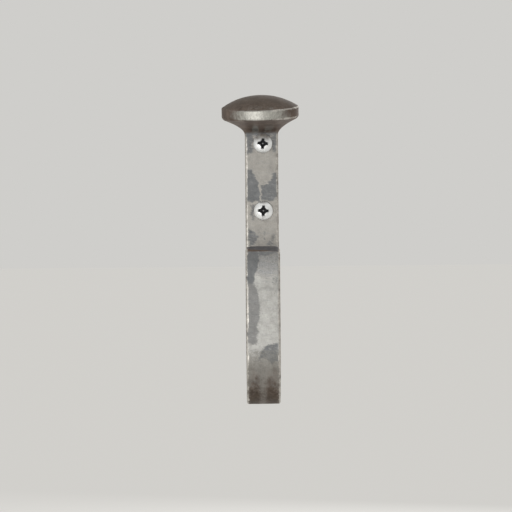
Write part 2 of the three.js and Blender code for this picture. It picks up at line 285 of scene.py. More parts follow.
def swept_bar_tree():
    """Sweeps a rounded rectangle along the centreline, with each section's own sizes, tilt and roll."""
    corners = 4.0
    inputs = {"Points per corner": "NodeSocketInt", "Material": "NodeSocketMaterial"}
    tree = new_tree("swept_bar", inputs)
    per_corner = add_node(tree, "NodeGroupInput", out="Points per corner")
    around = add_node(tree, "ShaderNodeMath", (per_corner, corners), operation="MULTIPLY")
    profile = add_node(tree, "GeometryNodeCurvePrimitiveCircle", {"Resolution": around})

    index = add_node(tree, "GeometryNodeInputIndex")
    quarters = add_node(tree, "ShaderNodeMath", (index, per_corner), operation="DIVIDE")
    corner = add_node(tree, "ShaderNodeMath", (quarters,), operation="FLOOR")
    step = add_node(tree, "ShaderNodeMath", (index, per_corner), operation="MODULO")
    last_step = add_node(tree, "ShaderNodeMath", (per_corner, 1.0), operation="SUBTRACT")
    share = add_node(tree, "ShaderNodeMath", (step, last_step), operation="DIVIDE")
    turned = add_node(tree, "ShaderNodeMath", (corner, share), operation="ADD")
    angle = add_node(tree, "ShaderNodeMath", (turned, math.pi / 2), operation="MULTIPLY")
    middle = add_node(tree, "ShaderNodeMath", (corner, math.pi / 2, math.pi / 4), operation="MULTIPLY_ADD")
    for axis, wave in (("x", "COSINE"), ("y", "SINE")):
        towards = add_node(tree, "ShaderNodeMath", (middle,), operation=wave)
        side = add_node(tree, "ShaderNodeMath", (towards,), operation="SIGN")
        rounding = add_node(tree, "ShaderNodeMath", (angle,), operation=wave)
        for label, value in ((f"side_{axis}", side), (f"round_{axis}", rounding)):
            stored = {"Geometry": profile, "Name": label, "Value": value}
            writer = "GeometryNodeStoreNamedAttribute"
            profile = add_node(tree, writer, stored, data_type="FLOAT", domain="POINT")

    line = add_node(tree, "NodeGroupInput", out="Geometry")
    path = add_node(tree, "GeometryNodeMeshToCurve", {"Mesh": line})
    sweep = {"Curve": path, "Profile Curve": profile, "Fill Caps": True}
    swept = add_node(tree, "GeometryNodeCurveToMesh", sweep)
    kept = {}
    reader = "GeometryNodeInputNamedAttribute"
    profile_labels = ("side_x", "side_y", "round_x", "round_y")
    for label in (*profile_labels, "half_width", "half_depth", "corner", "lean", "roll"):
        kept[label] = add_node(tree, reader, {"Name": label}, out="Attribute", data_type="FLOAT")
    reaches = []
    for half, axis in (("half_width", "x"), ("half_depth", "y")):
        flat = add_node(tree, "ShaderNodeMath", (kept[half], kept["corner"]), operation="SUBTRACT")
        placed = add_node(tree, "ShaderNodeMath", (flat, kept[f"side_{axis}"]), operation="MULTIPLY")
        rounded = (kept["corner"], kept[f"round_{axis}"], placed)
        reaches.append(add_node(tree, "ShaderNodeMath", rounded, operation="MULTIPLY_ADD"))
    across, deep = reaches
    depths = []
    for wave in ("COSINE", "SINE"):
        share = add_node(tree, "ShaderNodeMath", (kept["lean"],), operation=wave)
        depths.append(add_node(tree, "ShaderNodeMath", (deep, share), operation="MULTIPLY"))
    out, up = depths
    up = add_node(tree, "ShaderNodeMath", (across, kept["roll"], up), operation="MULTIPLY_ADD")
    offset = add_node(tree, "ShaderNodeCombineXYZ", (across, out, up))
    centre = add_node(tree, reader, {"Name": "centre"}, out="Attribute", data_type="FLOAT_VECTOR")
    place = add_node(tree, "ShaderNodeVectorMath", (centre, offset), operation="ADD")
    finish_tree(tree, add_node(tree, "GeometryNodeSetPosition", {"Geometry": swept, "Position": place}))
    return tree


def arc(x, y, radius, start, end, steps):
    """Points along an arc about (x, y), both ends included."""
    angles = [mix(start, end, i / steps) for i in range(steps + 1)]
    return [(x + radius * math.cos(a), y + radius * math.sin(a)) for a in angles]


# A point nearer the axis than this, in millimetres, is on it.
ON_AXIS = 1e-6


def turned_mesh(name, profile, segments):
    """The closed solid of a profile of (radius, height) points, in millimetres, turned about the Z axis."""
    made = bmesh.new()
    rings = []
    for radius, height in profile:
        if radius < ON_AXIS:
            rings.append([made.verts.new((0, 0, height * MM))])
            continue
        turns = [2 * math.pi * i / segments for i in range(segments)]
        ring = [(radius * MM * math.cos(a), radius * MM * math.sin(a), height * MM) for a in turns]
        rings.append([made.verts.new(place) for place in ring])
    for low, high in zip(rings, rings[1:]):
        for i in range(segments):
            j = (i + 1) % segments
            if len(low) == 1:
                made.faces.new((low[0], high[j], high[i]))
            elif len(high) == 1:
                made.faces.new((low[i], low[j], high[0]))
            else:
                made.faces.new((low[i], low[j], high[j], high[i]))
    bmesh.ops.recalc_face_normals(made, faces=made.faces)
    mesh = bpy.data.meshes.new(name)
    made.to_mesh(mesh)
    made.free()
    return mesh


def points_of(mesh):
    places = np.empty(len(mesh.vertices) * 3, np.float32)
    mesh.vertices.foreach_get("co", places)
    return places.reshape(-1, 3).astype(float)


def normals_of(mesh):
    normals = np.empty(len(mesh.vertices) * 3, np.float32)
    mesh.vertex_normals.foreach_get("vector", normals)
    return normals.reshape(-1, 3).astype(float)


def set_points(mesh, places):
    mesh.vertices.foreach_set("co", places.astype(np.float32).ravel())
    mesh.update()


def head_mesh():
    """The domed head: a turned disc with eased edges, crisp in front, set leaning from the wall."""
    segments, side_edge_steps, upper_edge_steps, dome_steps = 192, 8, 6, 30
    dome_foot = HEAD_RADIUS - RIM_UPPER_EDGE
    dome_radius = (dome_foot**2 + DOME_HEIGHT**2) / (2 * DOME_HEIGHT)
    dome_centre = RIM_HEIGHT + DOME_HEIGHT - dome_radius
    dome_start = math.asin((RIM_HEIGHT - dome_centre) / dome_radius)
    profile = [
        (0, 0),
        *arc(HEAD_RADIUS - RIM_SIDE_EDGE, RIM_SIDE_EDGE, RIM_SIDE_EDGE, -math.pi / 2, 0, side_edge_steps),
        *arc(dome_foot, RIM_HEIGHT - RIM_UPPER_EDGE, RIM_UPPER_EDGE, 0, math.pi / 2, upper_edge_steps)[:-1],
        *arc(0, dome_centre, dome_radius, dome_start, math.pi / 2, dome_steps)[:-1],
        (0, RIM_HEIGHT + DOME_HEIGHT),
    ]
    mesh = turned_mesh("head", profile, segments)
    places = points_of(mesh) / MM
    radius = np.maximum(np.hypot(places[:, 0], places[:, 1]), ON_AXIS)
    below = places[:, 2] < RIM_HEIGHT / 2
    inset = HEAD_RADIUS - radius
    share = mix(1, RIM_FRONT_EDGE / RIM_SIDE_EDGE, np.clip(-places[:, 1] / radius, 0, 1) ** 2)
    share = np.where(below & (inset <= RIM_SIDE_EDGE), share, 1)
    places[:, :2] *= ((HEAD_RADIUS - inset * share) / radius)[:, None]
    places[:, 2] *= share
    places[:, 2] -= np.where(below, (HEAD_RADIUS + places[:, 1]) * rim_taper, 0)
    set_points(mesh, places * MM)
    place = Matrix.Translation(Vector((HEAD_SIDE_OFFSET, head_y, head_z)) * MM)
    mesh.transform(place @ Matrix.Rotation(-HEAD_ROLL, 4, "Y") @ Matrix.Rotation(HEAD_TILT, 4, "X"))
    return mesh


def apply_modifiers(obj):
    """Turns an object's modifiers into its mesh."""
    evaluated = obj.evaluated_get(bpy.context.evaluated_depsgraph_get())
    mesh = bpy.data.meshes.new_from_object(evaluated)
    obj.modifiers.clear()
    obj.data = mesh
    return mesh


def fused(bar, head, hole_cutter):
    """Bar and head grown into one skin with soft inner corners, then drilled."""
    joined = bmesh.new()
    joined.from_mesh(bar)
    joined.from_mesh(head)
    mesh = bpy.data.meshes.new("forged_hook_skin")
    joined.to_mesh(mesh)
    joined.free()
    obj = new_object("hook_skin", mesh)
    remesh = obj.modifiers.new("one_skin", "REMESH")
    remesh.mode = "VOXEL"
    remesh.voxel_size = VOXEL * MM
    remesh.use_smooth_shade = True
    smooth = obj.modifiers.new("even", "SMOOTH")
    smooth.factor = SKIN_SMOOTHING
    smooth.iterations = SKIN_PASSES
    mesh = apply_modifiers(obj)
    set_points(mesh, forged(points_of(mesh) / MM, normals_of(mesh)) * MM)
    drill = obj.modifiers.new("drill", "BOOLEAN")
    drill.operation = "DIFFERENCE"
    drill.solver = "EXACT"
    drill.object = hole_cutter
    mesh = apply_modifiers(obj)
    bpy.data.objects.remove(obj)
    return mesh


# Each seed looks at the noise this far from the last.
SEED_STEPS = (17.3, 5.1, 9.7)


def noise_at(places, size, seed, octaves=1):
    """Smooth noise from -1 to 1 at each place in millimetres, with bumps of about this size."""
    shift = Vector([seed * step for step in SEED_STEPS])
    if octaves == 1:
        return np.array([noise.noise(Vector(p) / size + shift) for p in places])
    return np.array([noise.fractal(Vector(p) / size + shift, 1.0, 2.0, octaves) for p in places])


def forged(places, normals):
    """Sinks the skin by a hammer's shallow facets, deepest on head and bend, and never past the wall."""
    height = places[:, 2]
    dents = 0.5 + 0.5 * noise_at(places, DENT_SIZE, 1)
    dents += RIPPLE_SHARE * (0.5 + 0.5 * noise_at(places, RIPPLE_SIZE, 2))
    worked = np.clip((height - shank_top) / FORGED_ABOVE_SHANK, 0, 1)
    worked += np.clip((bend_z - height) / FORGED_ROUND_BEND, 0, 1)
    depth = FORGE_DEPTH * dents * mix(LEAST_FORGED, 1, np.clip(worked, 0, 1))
    flat_back = np.clip(-places[:, 1] / FORGED_OFF_BACK, 0, 1)
    sunk = places - normals * (depth * flat_back)[:, None]
    return np.clip(sunk, hook_low, hook_high)


def smooth_step(low, high, value):
    share = np.clip((value - low) / (high - low), 0, 1)
    return share * share * (3 - 2 * share)


def convexity(mesh, places, normals):
    """How far each point stands above its neighbours' mean, in millimetres, evened out along the edges."""
    ends = np.empty(len(mesh.edges) * 2, np.int32)
    mesh.edges.foreach_get("vertices", ends)
    a, b = ends.reshape(-1, 2).T
    total = np.zeros_like(places)
    count = np.zeros(len(places))
    for here, there in ((a, b), (b, a)):
        np.add.at(total, here, places[there])
        np.add.at(count, here, 1)
    count = np.maximum(count, 1)
    standing = np.einsum("ij,ij->i", places - total / count[:, None], normals)
    for _ in range(EVENING_PASSES):
        near = np.zeros(len(places))
        for here, there in ((a, b), (b, a)):
            np.add.at(near, here, standing[there])
        standing = (standing + near / count) / 2
    return standing


# Scale left on the ground faces, as rough outlines of (x, z) in millimetres, each with how strong it is.
SHANK_SCALE = [
    (0.8, [(-8, 22), (8, 22), (8, 19.6), (-4.2, 19.4), (-4.4, 12), (-8, 10.4)]),
    (0.7, [(4.4, 20), (8, 20), (8, 11.4), (5.2, 12)]),
    (1.0, [(-8, 3.8), (-4.6, 3.6), (-3, -0.6), (-1.2, -4), (-0.2, -8), (-0.2, -11.4), (-8, -11.6)]),
    (0.85, [(8, 2), (5.2, 1.6), (4.4, -1.8), (-0.6, -3.6), (-0.6, -11), (5.2, -11.6), (8, -8)]),
    (0.7, [(-5.4, -13.4), (-3.4, -13), (-3.4, -20.4), (-5.2, -20.6)]),
    (0.75, [(-6.8, -25), (-5, -25), (-1.6, -28.6), (-3.4, -31.6), (-5.4, -33), (-6.8, -31)]),
    (0.6, [(0.4, -26), (1.4, -26), (1.6, -31), (0.6, -31.4)]),
    (0.55, [(2.2, -31), (5.8, -26.6), (6.4, -29), (4, -33), (2.2, -33)]),
]
ARM_SCALE = [
    (1.3, [(-8, -34), (-2.6, -34.4), (-1.8, -40), (-3.4, -45), (-4.6, -50), (-8, -50)]),
    (0.8, [(-2.6, -34), (8, -34), (8, -36), (2, -38), (-2, -38)]),
    (0.45, [(3.8, -48), (7, -46), (6.6, -51), (4.2, -50.6)]),
    (0.8, [(1.2, -78.6), (6.8, -77.6), (6.8, -86), (3.6, -87.6), (1, -84.6), (-2.6, -86), (-1.6, -82)]),
]
# A thin even film of scale that the grinding only just reached, down one side of the arm.
ARM_FILM = [
    (1.0, [(-8, -47), (-5, -50), (-3.4, -52), (-1.9, -56),
           (-1.3, -63), (-2.6, -70), (-3.2, -78.6), (-8, -77.4)]),
]
# Painted highlights on the neck: patches where bare steel shows through its painted shade, as small bright
# reflections.
NECK_HIGHLIGHTS = [
    (1.3, [(-4, 21.6), (-1.6, 21.6), (-1.8, 25.6), (-4, 25.6)]),
    (0.7, [(1.6, 22.2), (6, 23), (5.6, 25.6), (1.6, 25.4)]),
]
# Thin bright scratches through the scale of the shank, each a line of (x, z) in millimetres.
SCRATCHES = [
    [(-1.4, -3.6), (-0.5, -7), (-0.9, -9), (-0.6, -11.2)],
    [(-1.4, -3.6), (3.4, -3)],
]


def segment_distance(x, z, start, end):
    """How far each place is from a straight line between two points, in millimetres."""
    along_x, along_z = end[0] - start[0], end[1] - start[1]
    length_squared = along_x**2 + along_z**2
    share = np.clip(((x - start[0]) * along_x + (z - start[1]) * along_z) / length_squared, 0, 1)
    return np.hypot(x - start[0] - share * along_x, z - start[1] - share * along_z)


def outline_distance(x, z, outline):
    """How far each place is from an outline, in millimetres, negative inside it."""
    nearest = np.full(len(x), np.inf)
    inside = np.zeros(len(x), bool)
    for start, end in zip(outline, [*outline[1:], outline[0]]):
        nearest = np.minimum(nearest, segment_distance(x, z, start, end))
        if start[1] != end[1]:
            crossing = start[0] + (z - start[1]) * (end[0] - start[0]) / (end[1] - start[1])
            inside ^= ((start[1] > z) != (end[1] > z)) & (x < crossing)
    return np.where(inside, -nearest, nearest)


PATCH_BORDER = 0.9
SCRATCH_CLEAR, SCRATCH_REACH = 0.15, 0.5


def patch_mask(x, z, patches):
    """The strongest of these patches at each place, with soft borders."""
    best = np.zeros(len(x))
    for strength, outline in patches:
        outside = smooth_step(-PATCH_BORDER, PATCH_BORDER, outline_distance(x, z, outline))
        best = np.maximum(best, strength * (1 - outside))
    return best


def scratch_mask(x, z):
    """How much each place lies in one of the scratches."""
    nearest = np.full(len(x), np.inf)
    for line in SCRATCHES:
        for start, end in zip(line, line[1:]):
            nearest = np.minimum(nearest, segment_distance(x, z, start, end))
    return 1 - smooth_step(SCRATCH_CLEAR, SCRATCH_REACH, nearest)


# The rim's front is brushed, and painted with a highlight, turned a little to the left where the light
# comes from.
RIM_HIGHLIGHT_TURN = math.radians(5)
# The borders of the patches wander in waves and have nicks, of these depths and sizes.
WAVE_DEPTH, WAVE_SIZE = 0.6, 2.2
NICK_DEPTH, NICK_SIZE = 0.25, 0.8
# How far an edge stands above the points round it, where its wear and painted highlight start and where
# they are whole.
EDGE_LIGHT_STARTS, EDGE_LIGHT_WHOLE = 0.009, 0.018
# The levels, from the middle of the head's foot, over which its underside gives way to the rim in front.
UNDERSIDE_LEVEL, RIM_LEVEL = -3.9, -3.4


def ragged_places(places):
    """Each place's x and z, moved about a little, so that borders drawn on them come out ragged."""
    ragged = []
    for axis in (0, 2):
        waved = places[:, axis] + WAVE_DEPTH * noise_at(places, WAVE_SIZE, 5 + axis, 3)
        ragged.append(waved + NICK_DEPTH * noise_at(places, NICK_SIZE, 9 + axis))
    return ragged


def paint_patina(mesh):
    """Stores how much scale, brown oxide, painted shade, filing, bright edge and painted highlight each
    point of the hook has. Heights and widths are in millimetres. A facing of 1 looks straight out from the
    wall, and one of 0 sideways."""
    places, normals = points_of(mesh) / MM, normals_of(mesh)
    from_middle, height = np.abs(places[:, 0]), places[:, 2]
    facing, facing_up = -normals[:, 1], normals[:, 2]
    facing_left = facing * math.cos(RIM_HIGHLIGHT_TURN) - normals[:, 0] * math.sin(RIM_HIGHLIGHT_TURN)
    ragged = ragged_places(places)
    streaks = noise_at(places * [1, 1, 0.12], 1.9, 12, 2)

    # Which part of the hook each point is on.
    front = smooth_step(0.55, 0.9, facing)
    below_tip = smooth_step(tip_top + 3, tip_top + 1, height)
    on_arm = smooth_step(-30, -34, places[:, 1]) * below_tip
    near_tip = smooth_step(-52, -42, height + 3 * noise_at(places, 5.0, 14, 2))
    head_level = height - head_z - HEAD_ROLL * (places[:, 0] - HEAD_SIDE_OFFSET)
    on_head = smooth_step(UNDERSIDE_LEVEL, RIM_LEVEL, head_level)
    outward = (places[:, 1] - bend_y) * normals[:, 1] + (height - bend_z) * facing_up
    outer = smooth_step(-BAR_THICKNESS, BAR_THICKNESS, outward)
    on_bend = smooth_step(bend_z - 3, bend_z - 6, height) * smooth_step(0.05, 0.2, facing) * outer

    # Scale in patches on the ground faces, scratched through on the shank.
    scale = mix(patch_mask(*ragged, SHANK_SCALE), patch_mask(*ragged, ARM_SCALE), on_arm)
    scale *= 1 - scratch_mask(*ragged) * (1 - on_arm)

    # Brown oxide on the sides and the back, darker as painted shade where they turn from the front; painted
    # shade on the neck under the head, and in two streaks on the outside of the bend where it turns down.
    away = 1 - smooth_step(0.5, 0.97, facing + 0.12 * noise_at(places, 2.0, 11, 3))
    neck_shade = smooth_step(shank_top - 1, shank_top + 2.5, height) * (1 - on_head)
    off_centre = 1 - 0.45 * smooth_step(2.8, 0.8, np.abs(places[:, 0] + 0.3)) * smooth_step(0, 0.2, facing)
    off_centre *= 1 - 0.4 * smooth_step(5.4, 7.4, from_middle) * smooth_step(0.05, 0.3, facing)
    bend_shade = smooth_step(bend_z - 2, bend_z - 17, height + 4 * streaks) * (0.55 + 0.45 * away)
    bend_shade *= off_centre * outer
    # Painted highlights on the neck, where the shade and oxide give way to bare steel.
    neck_highlight = patch_mask(*ragged, NECK_HIGHLIGHTS) * smooth_step(0, 0.3, facing)
    oxide_and_shade = np.maximum.reduce([away * (1 - on_bend), neck_shade, bend_shade]) * (1 - neck_highlight)

    # Painted shade under the bend, where it turns down, and on the top of the dome, which faces up.
    bend_underside_shade = smooth_step(bend_z - 9, bend_z - 24, height + 4 * streaks) * off_centre * outer
    bend_underside_shade *= 0.72 * smooth_step(-0.3, 0.2, facing)
    dome_top_shade = 0.55 * on_head * smooth_step(0.5, 0.9, facing_up)

    # The end face of the tip, which faces up, painted dark: scale left on it, and painted shade.
    tip_foot = tip_top - 2.0 - 0.1 * places[:, 0] + 0.5 * noise_at(places, 1.5, 13, 2)
    tip_face = on_arm * smooth_step(-0.3, 0.3, height - tip_foot) * smooth_step(0.25, 0.5, facing_up)
    tip_face *= smooth_step(7.7, 6.9, from_middle)

    # Edges worn or filed bright, with a painted highlight along them: most in front, at the right on the
    # head, and hardly at the tip's front.
    wear_and_highlight = smooth_step(EDGE_LIGHT_STARTS, EDGE_LIGHT_WHOLE, convexity(mesh, places, normals))
    wear_and_highlight *= 1 - 0.75 * on_head * smooth_step(9, 2, places[:, 0])
    wear_and_highlight *= 0.45 + 0.55 * smooth_step(-0.1, 0.3, facing) + 0.3 * on_arm
    tip_front = on_arm * smooth_step(tip_top - 4, tip_top - 3, height) * smooth_step(7.4, 6.6, from_middle)
    wear_and_highlight *= 1 - 0.85 * tip_front

    # The arm's front is ground bright, filed across near its tip and speckled above the foot of the bend.
    masks = {
        "film": patch_mask(*ragged, ARM_FILM) * on_arm * front,
        "scale": scale * front,
        # Brown oxide, with painted shade on the neck, the bend and where the hook turns from the front.
        "oxide_and_shade": oxide_and_shade,
        # Painted shade under the bend and on the top of the dome.
        "painted_dark_shade": np.maximum(bend_underside_shade, dome_top_shade),
        # Worn and filed edges, with a painted highlight along them.
        "edge_wear_and_highlight": wear_and_highlight * (1 - tip_face),
        "tip_face": tip_face,
        "polished": front * on_arm * smooth_step(-88, -80, height) * (1 - 0.8 * near_tip),
        "filed": front * mix(0.35, 1, on_arm * near_tip) * (1 - 0.75 * scale * on_arm),
        # The rim's front: brushed, and painted with a highlight.
        "brushed_and_highlit": smooth_step(0.55, 0.9, facing_left) * on_head * (1 - smooth_step(0.3, 0.6, facing_up)),
        "speckled": front * on_arm * smooth_step(-78, -82, height) * smooth_step(-94, -90, height),
    }
    for name, values in masks.items():
        stored = mesh.attributes.new(name, "FLOAT", "POINT")
        stored.data.foreach_set("value", np.clip(values, 0, 1).astype(np.float32))


# A Mix node's sockets go by number: the factor, then two plain numbers, then two colours.
FACTOR, NUMBER_A, NUMBER_B, COLOUR_A, COLOUR_B = 0, 2, 3, 6, 7
COLOUR_OUT = 2


def forged_steel():
    """Mild steel, hot forged, with its scale part ground away. The bare steel gives a soft, broad, slightly
    warm gloss, the scale a cooler and flatter grey, the brown oxide almost none, and filed edges a bright
    line. Some layers are painted light: shade on the sides, neck, bend, dome and tip, and highlights along
    the edges, on the rim and on the neck."""
    material = bpy.data.materials.new("forged_mild_steel_ground_over_scale")
    material.use_nodes = True
    tree = material.node_tree
    shader = tree.nodes["Principled BSDF"]
    coordinates = add_node(tree, "ShaderNodeTexCoord", out="Object")

    # Grain sizes along X, Y and Z in millimetres, and how far each is turned. File and brush marks are
    # really about a tenth of a millimetre apart, too fine to show, so they are drawn three times as coarse.
    grains = {
        "mottle": ((3.2, 3.2, 3.2), 0.0),
        "grit": ((0.6, 0.6, 0.6), 0.0),
        "crust": ((3.4, 3.4, 5.5), 0.0),
        "hatching": ((1.6, 1.6, 0.5), math.radians(16)),
        "file_marks": ((6.0, 6.0, 0.35), math.radians(7)),
        "brush_marks": ((0.4, 0.4, 3.5), 0.0),
        "runs": ((0.9, 0.9, 9.0), 0.0),
    }
    patterns = {}
    for name, (size, turn) in grains.items():
        mapping = {"Vector": coordinates, "Rotation": (0, turn, 0), "Scale": [s * MM for s in size]}
        placed = add_node(tree, "ShaderNodeMapping", mapping, vector_type="TEXTURE")
        noise_inputs = {"Vector": placed, "Scale": 1.0, "Detail": 5.0, "Roughness": 0.7}
        grain = add_node(tree, "ShaderNodeTexNoise", noise_inputs)
        patterns[name] = add_node(tree, "ShaderNodeMapRange", (grain, 0.3, 0.7))

    # Each layer lies over those before it: the pattern that breaks up its border, how much, and the values
    # where it starts and is whole, then the two tones that another pattern mixes, and how metallic and how
    # rough it is.
    layers = {
        "polished": ("hatching", 0.4, 0.2, 1.2, "mottle", "#93928e", "#b1b0ac", 1.0, 0.42),
        "film": ("hatching", 0.9, 0.6, 1.3, "mottle", "#777776", "#8b8a88", 0.95, 0.46),
        "scale": ("hatching", 0.9, 0.65, 1.25, "mottle", "#67696a", "#808182", 0.9, 0.5),
        "filed": ("file_marks", 1.3, 1.0, 1.9, "grit", "#7c7d7e", "#a0a09f", 1.0, 0.42),
        "speckled": ("grit", 1.0, 1.1, 2.0, "mottle", "#77756f", "#8c8a85", 0.9, 0.5),
        # The rim's brushed front, painted lighter as a highlight.
        "brushed_and_highlit": ("brush_marks", 1.1, 0.9, 1.9, "grit", "#acaba4", "#c6c5be", 1.0, 0.36),
        # Brown oxide, and painted shade on the neck, the bend and where the hook turns from the front.
        "oxide_and_shade": ("runs", 0.3, 0.15, 1.15, "crust", "#4c3e36", "#786a60", 0.6, 0.52),
        # Painted shade, in dark browns, under the bend and on the top of the dome.
        "painted_dark_shade": ("runs", 0.3, 0.15, 1.1, "mottle", "#352c23", "#4e4234", 0.6, 0.55),
        # The tip's up-facing end face: scale, and painted shade.
        "tip_face": ("grit", 0.3, 0.15, 1.15, "mottle", "#5d5c5e", "#797879", 0.9, 0.5),
        # Bright worn and filed edges, with a painted highlight along them.
        "edge_wear_and_highlight": ("mottle", 1.0, 0.85, 1.75, "grit", "#aca8a1", "#d6d2cb", 1.0, 0.36),
    }
    bare = {FACTOR: patterns["mottle"], COLOUR_A: linear("#8c8984"), COLOUR_B: linear("#a19e98")}
    colour = add_node(tree, "ShaderNodeMix", bare, out=COLOUR_OUT, data_type="RGBA")
    metallic, roughness = 1.0, 0.42
    for name, (breaker, amount, start, whole, blender, dark, light, metal, rough) in layers.items():
        stored = add_node(tree, "ShaderNodeAttribute", out="Fac", attribute_name=name)
        uneven = (patterns[breaker], amount, stored)
        broken = add_node(tree, "ShaderNodeMath", uneven, operation="MULTIPLY_ADD")
        border = (broken, start, whole)
        cover = add_node(tree, "ShaderNodeMapRange", border, interpolation_type="SMOOTHSTEP")
        tones = {FACTOR: patterns[blender], COLOUR_A: linear(dark), COLOUR_B: linear(light)}
        tone = add_node(tree, "ShaderNodeMix", tones, out=COLOUR_OUT, data_type="RGBA")
        laid_over = {FACTOR: cover, COLOUR_A: colour, COLOUR_B: tone}
        colour = add_node(tree, "ShaderNodeMix", laid_over, out=COLOUR_OUT, data_type="RGBA")
        metallic = add_node(tree, "ShaderNodeMix", {FACTOR: cover, NUMBER_A: metallic, NUMBER_B: metal})
        roughness = add_node(tree, "ShaderNodeMix", {FACTOR: cover, NUMBER_A: roughness, NUMBER_B: rough})
    speck = add_node(tree, "ShaderNodeMapRange", (patterns["grit"], 0.0, 1.0, 0.86, 1.1))
    grainy = {FACTOR: 1.0, COLOUR_A: colour, COLOUR_B: speck}
    blend = {"data_type": "RGBA", "blend_type": "MULTIPLY"}
    colour = add_node(tree, "ShaderNodeMix", grainy, out=COLOUR_OUT, **blend)
    gloss = (patterns["grit"], 0.12, roughness)
    uneven_gloss = add_node(tree, "ShaderNodeMath", gloss, operation="MULTIPLY_ADD")
    fine = add_node(tree, "ShaderNodeMath", (patterns["grit"], 0.4), operation="MULTIPLY")
    marks = (patterns["file_marks"], 0.25, fine)
    relief = add_node(tree, "ShaderNodeMath", marks, operation="MULTIPLY_ADD")
    pits = {"Height": relief, "Strength": 0.35, "Distance": 0.1 * MM}
    tree.links.new(colour, shader.inputs["Base Color"])
    tree.links.new(metallic, shader.inputs["Metallic"])
    tree.links.new(uneven_gloss, shader.inputs["Roughness"])
    tree.links.new(add_node(tree, "ShaderNodeBump", pits), shader.inputs["Normal"])
    return material


HOLE_SEGMENTS = 64


def hole_cutter():
    """The two drill bits, one for each screw, longer than the bar is thick."""
    cutter = bmesh.new()
    for height in screw_heights.values():
        place = Matrix.Translation(Vector((screw_x, shank_y, height)) * MM)
        bmesh.ops.create_cone(
            cutter,
            cap_ends=True,
            segments=HOLE_SEGMENTS,
            radius1=HOLE_DIAMETER / 2 * MM,
            radius2=HOLE_DIAMETER / 2 * MM,
            depth=2 * BAR_THICKNESS * MM,
            matrix=place @ Matrix.Rotation(math.pi / 2, 4, "X"),
        )
    mesh = bpy.data.meshes.new("hole_cutter")
    cutter.to_mesh(mesh)
    cutter.free()
    return new_object("hole_cutter", mesh)


POINTS_PER_CORNER = 13
HOOK_SHARP_ANGLE = math.radians(50)

steel = forged_steel()
bar_inputs = {"Points per corner": POINTS_PER_CORNER, "Material": steel}
bar = run_tree(centreline(bar_stations()), swept_bar_tree(), bar_inputs)
drill_bits = hole_cutter()
hook_mesh = fused(bar, head_mesh(), drill_bits)
bpy.data.objects.remove(drill_bits)
paint_patina(hook_mesh)
hook_mesh.materials.clear()
hook_mesh.materials.append(steel)
hook_mesh.set_sharp_from_angle(angle=HOOK_SHARP_ANGLE)
hook = new_object("forged_hook_finished", hook_mesh)
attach(hook, "hook")
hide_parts("forged_hook")


# --- The two screws -----------------------------------------------------------------------------------
# Pan-head wood screws of zinc-plated steel with a cross recess, headed and thread-rolled from wire. Each
# passes through a clearance hole in the shank and bites into the wall, and its head holds the hook.

SCREW_DIAMETER, SCREW_CORE_DIAMETER = 4.8, 3.2
SCREW_LENGTH, SCREW_PLAIN_LENGTH, SCREW_POINT_LENGTH, SCREW_PITCH = 40.0, 2.0, 6.0, 2.0
SCREW_HEAD_HEIGHT, SCREW_HEAD_SIDE, SCREW_HEAD_EDGE = 3.0, 0.9, 0.25
CROWN_FLATNESS, SHOULDER_ROUNDNESS = 2.2, 1.7
RECESS_DEPTH, RECESS_POINT_DEPTH = 1.9, 0.5
SCREW_SEAT_GAP = 0.3
SAME_POINT = 0.001
SCREW_SHARP_ANGLE = math.radians(32)
SCREW_SEGMENTS, ROWS_PER_TURN = 60, 13
# Shares of a turn from the middle of the thread's crest: where the crest ends and where its flank does.
CREST_END, FLANK_END = 0.05, 0.27
# The width of the point's very end, as a share of the thread's.
POINT_WIDTH = 0.03


